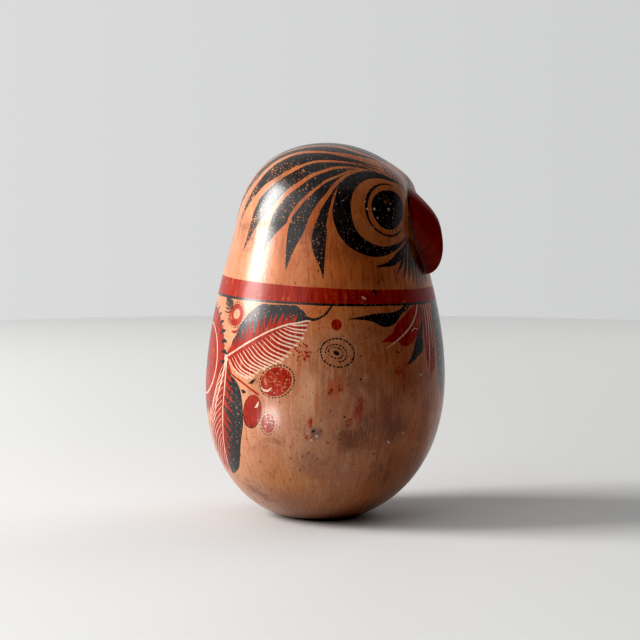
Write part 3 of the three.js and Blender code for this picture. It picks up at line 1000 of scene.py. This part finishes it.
class Nodes:
    """Short names for making a node tree. A colour is three numbers or a socket."""

    def __init__(self, tree):
        self.tree = tree
        self.column = 0

    def add(self, kind, inputs=(), **settings):
        node = self.tree.nodes.new(kind)
        self.column += 1
        node.location = (180 * (self.column % 12), -220 * (self.column // 12))
        for key, value in settings.items():
            setattr(node, key, value)
        for key, value in dict(inputs).items():
            if isinstance(value, bpy.types.NodeSocket):
                self.tree.links.new(value, node.inputs[key])
            else:
                node.inputs[key].default_value = value
        return node

    def coordinates(self, kind="Object"):
        return self.add("ShaderNodeTexCoord").outputs[kind]

    def combine(self, x, y, z):
        return self.add("ShaderNodeCombineXYZ", {0: x, 1: y, 2: z}).outputs[0]

    def maths(self, operation, a, b):
        return self.add("ShaderNodeMath", {0: a, 1: b}, operation=operation).outputs[0]

    def vector(self, operation, a, b=(0, 0, 0)):
        second = "Scale" if operation == "SCALE" else 1
        node = self.add("ShaderNodeVectorMath", {0: a, second: b}, operation=operation)
        return node.outputs["Value" if operation in ("LENGTH", "DOT_PRODUCT") else "Vector"]

    def noise(self, vector, scale, detail=2.0, roughness=0.5, distortion=0.0):
        inputs = {"Vector": vector, "Scale": scale, "Detail": detail, "Roughness": roughness}
        return self.add("ShaderNodeTexNoise", {**inputs, "Distortion": distortion}).outputs["Fac"]

    def ramp(self, value, low, high, to_low=0.0, to_high=1.0, kind="SMOOTHSTEP"):
        inputs = {"Value": value, "From Min": low, "From Max": high, "To Min": to_low, "To Max": to_high}
        return self.add("ShaderNodeMapRange", inputs, interpolation_type=kind).outputs["Result"]

    def mix(self, share, a, b):
        a, b = ((*c, 1.0) if isinstance(c, tuple) else c for c in (a, b))
        return self.add("ShaderNodeMix", {0: share, 6: a, 7: b}, data_type="RGBA").outputs[2]

    def bump(self, height, distance, strength=1.0, over=()):
        inputs = {"Height": height, "Distance": distance, "Strength": strength, **dict(over)}
        return self.add("ShaderNodeBump", inputs).outputs[0]


BELLY_SHEEN_BEARING = math.radians(-90)  # the bearing where the belly's clay is painted paler: a painted sheen where the window's highlight falls
WINDOW_SHEEN_BEARING = math.radians(-140)  # the bearing where the clay is painted paler: a painted sheen on the side that faces the window

# Old stains, and two patches of painted light: bearing, down, half width, half height, colour, strength.
STAINS_AND_PAINTED_LIGHT = [
    # Painted sheen: a pale patch low on the belly, where the window's highlight falls.
    (-90, 182, 20, 26, (0.42, 0.230, 0.140), 0.50),
    # Painted light: a brighter orange patch low on the belly, where the table's gleam falls.
    (-92, 208, 24, 15, (0.44, 0.180, 0.055), 0.75),
    (-82, 157, 8, 16, (0.47, 0.280, 0.170), 0.75),
    (-80, 195, 12, 9, (0.24, 0.110, 0.070), 0.60),
    (-70, 225, 22, 12, (0.38, 0.150, 0.050), 0.50),
    (-46, 163, 17, 17, (0.180, 0.040, 0.011), 0.75),
    (-39, 200, 15, 15, (0.190, 0.060, 0.021), 0.70),
    (-40, 176, 13, 11, (0.130, 0.028, 0.008), 0.75),
    (-62, 182, 11, 10, (0.105, 0.026, 0.007), 0.85),
    (-55, 174, 8, 9, (0.105, 0.026, 0.007), 0.70),
    (-51, 206, 5, 11, (0.320, 0.130, 0.060), 0.50),
    (-19, 168, 6, 11, (0.240, 0.024, 0.007), 0.80),
    (-79, 160, 1.5, 17, (0.340, 0.110, 0.030), 0.80),
    (-71, 155, 5, 8, (0.360, 0.055, 0.020), 0.60),
    (-60, 167, 4.5, 9, (0.240, 0.026, 0.007), 0.85),
    (-35, 149, 5, 9, (0.210, 0.024, 0.008), 0.70),
    (-79, 178, 4.5, 6, (0.085, 0.045, 0.045), 0.80),
    (-82, 172, 1.8, 3.4, (0.420, 0.060, 0.015), 0.90),
    (-60, 94, 22, 9, (0.400, 0.110, 0.025), 0.50),
    (-40, 97, 16, 9, (0.260, 0.058, 0.013), 0.60),
    (95, 170, 20, 24, (0.150, 0.036, 0.010), 0.70),
    (60, 190, 18, 18, (0.400, 0.200, 0.100), 0.60),
    (170, 205, 22, 18, (0.420, 0.170, 0.050), 0.70),
    (140, 185, 12, 16, (0.160, 0.040, 0.012), 0.60),
]


def surface_group():
    """What the whole burnished surface shares: the clay's colour with its painted sheen, the polishing
    strokes and specks.
    """
    group = bpy.data.node_groups.new("burnished_surface", "ShaderNodeTree")
    n = Nodes(group)
    at = n.coordinates()
    split = n.add("ShaderNodeSeparateXYZ", {0: at}).outputs
    outward = n.vector("NORMALIZE", n.combine(split[0], split[1], 0.0))
    bend = n.noise(at, 34.0, 3.0)
    swing = n.combine(n.maths("MULTIPLY", bend, 6.0), n.maths("MULTIPLY", bend, 4.0), 0.0)
    around = n.vector("ADD", n.vector("SCALE", outward, 36.0), swing)
    tall = n.combine(0.0, 0.0, n.maths("MULTIPLY", split[2], 75.0))
    streak = n.noise(n.vector("ADD", around, tall), 1.0, 3.0, 0.6, 0.8)
    close = n.vector("ADD", n.vector("SCALE", outward, 90.0), n.vector("SCALE", tall, 3.0))
    fine = n.noise(close, 1.0, 4.0, 0.65, 0.5)
    warp = n.add("ShaderNodeTexNoise", {"Vector": at, "Scale": 70.0, "Detail": 6.0}).outputs["Color"]
    drift = n.vector("SUBTRACT", warp, (0.5, 0.5, 0.5))
    mottle = n.noise(at, 60.0, 9.0, 0.72, 0.5)
    broad = n.noise(at, 20.0, 3.0, 0.55, 1.2)
    stain = n.noise(n.vector("ADD", at, (3.1, 1.7, 0.4)), 42.0, 9.0, 0.72, 0.6)
    fleck = n.noise(at, 900.0, 2.0, 0.6)
    crumb = n.noise(at, 330.0, 3.0, 0.65)
    speck = n.noise(at, 520.0, 4.0, 0.7)

    tan = n.mix(n.ramp(broad, 0.36, 0.66), (0.38, 0.140, 0.046), (0.25, 0.072, 0.021))
    tan = n.mix(n.ramp(mottle, 0.42, 0.64, 0.0, 0.60), tan, (0.33, 0.080, 0.019))
    # Painted sheen: low on the belly, toward the window's highlight, the clay and its pale and dim marks
    # are painted paler.
    side = n.vector("DOT_PRODUCT", outward, (math.sin(BELLY_SHEEN_BEARING), -math.cos(BELLY_SHEEN_BEARING), 0))
    side = n.maths("ADD", side, n.maths("MULTIPLY", n.maths("SUBTRACT", broad, 0.5), 0.5))
    belly_sheen = n.maths("MULTIPLY", n.ramp(side, 0.60, 0.96), n.ramp(split[2], 0.118, 0.095))
    pale = n.mix(belly_sheen, (0.36, 0.145, 0.055), (0.43, 0.235, 0.135))
    dim = n.mix(belly_sheen, (0.19, 0.042, 0.011), (0.30, 0.105, 0.040))
    tan = n.mix(n.maths("MULTIPLY", belly_sheen, 0.7), tan, (0.30, 0.140, 0.080))
    # Painted sheen: the clay is painted paler on the side that faces the window.
    window_sheen = n.vector("DOT_PRODUCT", outward, (math.sin(WINDOW_SHEEN_BEARING), -math.cos(WINDOW_SHEEN_BEARING), 0))
    tan = n.mix(n.ramp(window_sheen, 0.70, 0.98, 0.0, 0.45), tan, (0.48, 0.280, 0.180))
    for bearing, down, wide, high, shade, much in STAINS_AND_PAINTED_LIGHT:
        centre = Vector(place(bearing, down) * MM)
        bent = n.vector("SCALE", drift, 1.3 * min(wide, high) * MM)
        wander = n.vector("ADD", n.vector("SUBTRACT", at, tuple(centre)), bent)
        shrink = (1 / wide / MM, 1 / wide / MM, 1 / high / MM)
        near = n.vector("LENGTH", n.vector("MULTIPLY", wander, shrink))
        near = n.maths("ADD", near, n.maths("MULTIPLY", streak, 0.5))
        tan = n.mix(n.ramp(near, 1.35, 0.45, 0.0, much), tan, shade)
    for pattern, low, high, much, shade in (
        (stain, 0.52, 0.66, 0.45, pale),
        (stain, 0.46, 0.34, 0.60, (0.150, 0.034, 0.009)),
        (streak, 0.51, 0.66, 0.50, pale),
        (streak, 0.46, 0.34, 0.55, dim),
        (fine, 0.54, 0.74, 0.25, (0.17, 0.042, 0.012)),
        (speck, 0.56, 0.70, 0.45, (0.200, 0.040, 0.014)),
        (speck, 0.43, 0.30, 0.30, pale),
        (crumb, 0.64, 0.72, 0.85, (0.045, 0.018, 0.010)),
    ):
        tan = n.mix(n.ramp(pattern, low, high, 0.0, much), tan, shade)

    rough = n.maths("ADD", n.ramp(streak, 0.25, 0.75, 0.25, 0.30), n.ramp(mottle, 0.35, 0.8, 0.0, 0.08))
    rough = n.maths("ADD", rough, n.ramp(fine, 0.4, 0.8, 0.0, 0.05))
    normal = n.bump(streak, 0.00007)
    normal = n.bump(fine, 0.00002, 1.0, {"Normal": normal})
    grit = n.maths("ADD", crumb, n.maths("MULTIPLY", mottle, 0.8))
    normal = n.bump(grit, 0.00004, 0.8, {"Normal": normal})
    out = n.add("NodeGroupOutput")
    for name, kind, value in (
        ("Clay", "Color", tan),
        ("Streak", "Float", streak),
        ("Fleck", "Float", fleck),
        ("Roughness", "Float", rough),
        ("Normal", "Vector", normal),
    ):
        group.interface.new_socket(name, in_out="OUTPUT", socket_type="NodeSocket" + kind)
        group.links.new(value, out.inputs[name])
    return group


SURFACE = surface_group()
FLECK_COLOUR = (0.30, 0.20, 0.14)


def new_material(name):
    made = bpy.data.materials.new(name)
    made.use_nodes = True
    made.node_tree.nodes.clear()
    return made, Nodes(made.node_tree)


def shaded(n, colour, rough, normal, settings=()):
    """The principled shader and the material's output."""
    inputs = {"Base Color": colour, "Roughness": rough, "Normal": normal, **dict(settings)}
    shader = n.add("ShaderNodeBsdfPrincipled", inputs)
    n.add("ShaderNodeOutputMaterial", {"Surface": shader.outputs[0]})


def slip_material(name, deep, pale, worn, flecked, gloss=0.18, coat=0.55):
    """A burnished slip: deep and pale colours by brush marks, worn by how much clay shows through,
    flecked by how many tiny pale specks it has. With no deep colour it is the bare clay."""
    made, n = new_material(name)
    surface = n.add("ShaderNodeGroup", node_tree=SURFACE).outputs
    colour = surface["Clay"]
    if deep is not None:
        slip = n.mix(n.ramp(surface["Streak"], 0.3, 0.7), deep, pale)
        patch = n.noise(n.coordinates(), 130.0, 4.0, 0.7, 0.5)
        streak = n.maths("MULTIPLY", surface["Streak"], 0.4)
        gone = n.maths("ADD", n.maths("MULTIPLY", patch, 0.6), streak)
        colour = n.mix(n.ramp(gone, worn, worn + 0.12, 0.0, 0.75), slip, colour)
        colour = n.mix(n.ramp(surface["Fleck"], flecked, flecked + 0.06, 0.0, 0.75), colour, FLECK_COLOUR)
    shine = {"IOR": 1.5, "Specular IOR Level": gloss, "Coat Weight": coat, "Coat Roughness": 0.24}
    shaded(n, colour, surface["Roughness"], surface["Normal"], shine)
    return made


def raw_clay_material():
    """Unpolished fired clay."""
    made, n = new_material("raw_clay")
    at = n.coordinates()
    patch = n.noise(at, 60.0, 5.0, 0.6, 0.5)
    grain = n.noise(at, 900.0, 4.0, 0.7)
    grit = n.noise(at, 420.0, 2.0, 0.6)
    colour = n.mix(n.ramp(patch, 0.35, 0.7), (0.42, 0.185, 0.105), (0.33, 0.135, 0.075))
    colour = n.mix(n.ramp(grit, 0.62, 0.7, 0.0, 0.7), colour, (0.55, 0.36, 0.24))
    colour = n.mix(n.ramp(grain, 0.6, 0.75, 0.0, 0.5), colour, (0.16, 0.07, 0.045))
    rise = n.maths("ADD", grain, n.maths("MULTIPLY", grit, 0.8))
    shaded(n, colour, n.ramp(grain, 0.3, 0.7, 0.8, 0.95), n.bump(rise, 0.00015))
    return made


clay_mat = slip_material("burnished_clay", None, None, 0, 0)
red_mat = slip_material(
    "red_slip", (0.165, 0.008, 0.003), (0.265, 0.024, 0.009), 0.56, 0.68, 0.14, 0.26
)
beak_mat = slip_material(
    "beak_red_slip", (0.135, 0.005, 0.002), (0.215, 0.016, 0.006), 0.60, 0.70, 0.14, 0.12
)
black_mat = slip_material("black_slip", (0.009, 0.007, 0.007), (0.022, 0.016, 0.014), 0.60, 0.625)
white_mat = slip_material("white_slip", (0.36, 0.25, 0.185), (0.47, 0.34, 0.26), 0.585, 0.9)
raw_mat = raw_clay_material()

# --- The pieces ---

chart_xy, chart_triangles, chart_colours = painted_skin()
body_materials = [clay_mat, red_mat, black_mat, white_mat, raw_mat]
for name, node in (("owl_front", "front_half"), ("owl_back", "back_half")):
    piece = half(name, name == "owl_front", body_materials)
    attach(piece, "root")
    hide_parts(node)


LUTING = 0.9  # how far the fillet at the beak's root reaches, out from the face and sideways


def beak_pieces():
    """The beak, and the fillet of clay that lutes it to the face."""
    rows, columns = 90, 56
    heights = np.sin(np.linspace(-1, 1, rows) * math.pi / 2)
    heights = BEAK_MIDDLE + (BEAK_LENGTH / 2 - 0.12) * heights
    share = np.linspace(-1, 1, columns)
    grid = np.zeros((rows, columns, 3))
    for i, (height, edge) in enumerate(zip(heights, beak_contact(heights))):
        grid[i] = beak_point(np.full(columns, height), share * min(edge + 0.25, math.pi))
    stand = above_face(grid)
    flare = LUTING * np.exp(-np.maximum(stand, 0) / LUTING) * (stand < 4)
    grid[..., 0] += flare * (np.sign(share) * np.minimum(1, np.abs(share) * 4))[None, :]
    corners = [i * columns + j for i in range(rows - 1) for j in range(columns - 1)]
    faces = [[a, a + 1, a + columns + 1, a + columns] for a in corners]
    return grid.reshape(-1, 3), faces, stand.reshape(-1)


vertices, faces, stand = beak_pieces()
low_face = [all(stand[v] < LUTING for v in f) for f in faces]


def beak_part(name, chosen, material):
    picked = [f for f, c in zip(faces, chosen) if c]
    used = sorted({v for f in picked for v in f})
    index = {v: i for i, v in enumerate(used)}
    renumbered = [[index[v] for v in f] for f in picked]
    return mesh_object(name, vertices[used], renumbered, None, [0] * len(picked), [material])


beak = beak_part("owl_beak", [not c for c in low_face], beak_mat)
joint = beak_part("beak_joint", low_face, black_mat)
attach(beak, "root")
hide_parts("beak")
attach(joint, "root")
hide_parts("beak_slip")

for name in ("seam_coil", "foot_disc", "foot_slip"):
    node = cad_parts[name]
    node.data.materials.clear()
    node.data.materials.append(raw_mat)

# --- Floor, light and camera ---


def from_owl(azimuth, elevation):
    """The unit direction out from the owl, in degrees: azimuth 0 is in front, -90 on its right."""
    a, e = math.radians(azimuth), math.radians(elevation)
    return Vector((math.sin(a) * math.cos(e), -math.cos(a) * math.cos(e), math.sin(e)))


AZIMUTH, ELEVATION = -75, 5
CAMERA_DISTANCE = 1.2
LENS, SENSOR = 125.7, 36
# The owl is a little off the middle of the photograph.
NUDGE_UP, NUDGE_ACROSS = 0.0051, 0.0004
toward = from_owl(AZIMUTH, ELEVATION)
across = from_owl(AZIMUTH + 90, 0)
upward = toward.cross(across)

# The floor reaches further behind the owl, where its edge is the photograph's horizon.
FLOOR_RADIUS = 0.941
FLOOR_SHIFT = 0.321
FLOOR_MIDDLE = -FLOOR_SHIFT * from_owl(AZIMUTH, 0)


def floor_piece():
    mesh = bpy.data.meshes.new("floor")
    corners = range(180)
    turns = [2 * math.pi * i / len(corners) for i in corners]
    ring = [(FLOOR_RADIUS * math.cos(a), FLOOR_RADIUS * math.sin(a), 0.0) for a in turns]
    mesh.from_pydata(ring, [], [list(corners)])
    made = scene_object("floor", mesh)
    made.location = FLOOR_MIDDLE
    material, n = new_material("floor")
    away = n.vector("LENGTH", n.vector("ADD", n.coordinates(), tuple(FLOOR_MIDDLE)))
    shade = n.mix(n.ramp(away, 0.25, 1.2), (0.52, 0.519, 0.517), (0.64, 0.64, 0.64))
    shader = n.add("ShaderNodeBsdfPrincipled", {"Base Color": shade, "Roughness": 0.6})
    shader.inputs["Specular IOR Level"].default_value = 0.08
    n.add("ShaderNodeOutputMaterial", {"Surface": shader.outputs[0]})
    mesh.materials.append(material)


floor_piece()

DAYLIGHT = (1.0, 0.995, 0.985)
GLEAM_AZIMUTH = -122
GLEAM_DISTANCE = 0.26
GLEAM_HEIGHT = 0.002


def rectangle_light(name, wide, tall, power, colour=(1.0, 1.0, 1.0)):
    light = bpy.data.lights.new(name, "AREA")
    light.shape = "RECTANGLE"
    light.size, light.size_y = wide, tall
    light.energy = power
    light.color = colour
    made = scene_object(name, light)
    made.visible_camera = False
    return made


def room_light(name, azimuth, elevation, distance, *light):
    """A soft light in a direction from the owl, aimed at its middle."""
    made = rectangle_light(name, *light)
    way = from_owl(azimuth, elevation)
    made.location = Vector((0, 0, 0.12)) + way * distance
    made.rotation_mode = "QUATERNION"
    made.rotation_quaternion = way.to_track_quat("Z", "Y")
    return made


def table_gleam():
    """The window's light thrown up at the belly by the polished table top."""
    made = rectangle_light("gleam", 0.06, 0.13, 0.75)
    made.location = from_owl(GLEAM_AZIMUTH, 0) * GLEAM_DISTANCE + Vector((0, 0, GLEAM_HEIGHT))
    made.rotation_euler = (math.pi, 0, math.radians(GLEAM_AZIMUTH))


room_light("window", -161, 27, 1.9, 0.80, 1.1, 72, DAYLIGHT)
room_light("curtain", -122, 30, 2.0, 1.8, 1.4, 17, DAYLIGHT)
room_light("fill", 50, 30, 2.0, 1.4, 1.4, 12, DAYLIGHT).visible_glossy = False
room_light("top", -75, 80, 1.8, 1.6, 1.6, 5)
table_gleam()


def make_world():
    """A pale wall behind the owl, lighter on the window's side, and a dim room in front of it."""
    world = bpy.data.worlds.new("room")
    world.use_nodes = True
    world.node_tree.nodes.clear()
    n = Nodes(world.node_tree)
    way = n.coordinates("Generated")
    behind = n.vector("DOT_PRODUCT", way, tuple(-toward))
    right = n.vector("DOT_PRODUCT", way, tuple(across))
    light = n.ramp(right, -0.5, 0.5, kind="LINEAR")
    wall = n.mix(light, (0.84, 0.84, 0.84), (0.60, 0.605, 0.61))
    colour = n.mix(n.ramp(behind, -0.3, 0.8), (0.09, 0.087, 0.084), wall)
    seen = n.add("ShaderNodeLightPath").outputs["Is Camera Ray"]
    colour = n.mix(seen, colour, wall)
    background = n.add("ShaderNodeBackground", {"Color": colour, "Strength": 1.0})
    n.add("ShaderNodeOutputWorld", {"Surface": background.outputs[0]})
    bpy.context.scene.world = world


make_world()


def make_camera():
    data = bpy.data.cameras.new("camera")
    data.lens = LENS
    data.sensor_width = SENSOR
    made = scene_object("camera", data)
    aim = Vector((0, 0, 0.1)) + upward * NUDGE_UP + across * NUDGE_ACROSS
    made.location = aim + toward * CAMERA_DISTANCE
    made.rotation_mode = "QUATERNION"
    made.rotation_quaternion = toward.to_track_quat("Z", "Y")
    bpy.context.scene.camera = made


make_camera()

view = bpy.context.scene.view_settings
view.view_transform = "Standard"
view.gamma = 0.82
view.use_curve_mapping = True
view.curve_mapping.black_level = (0.011, 0.010, 0.009)
view.curve_mapping.update()
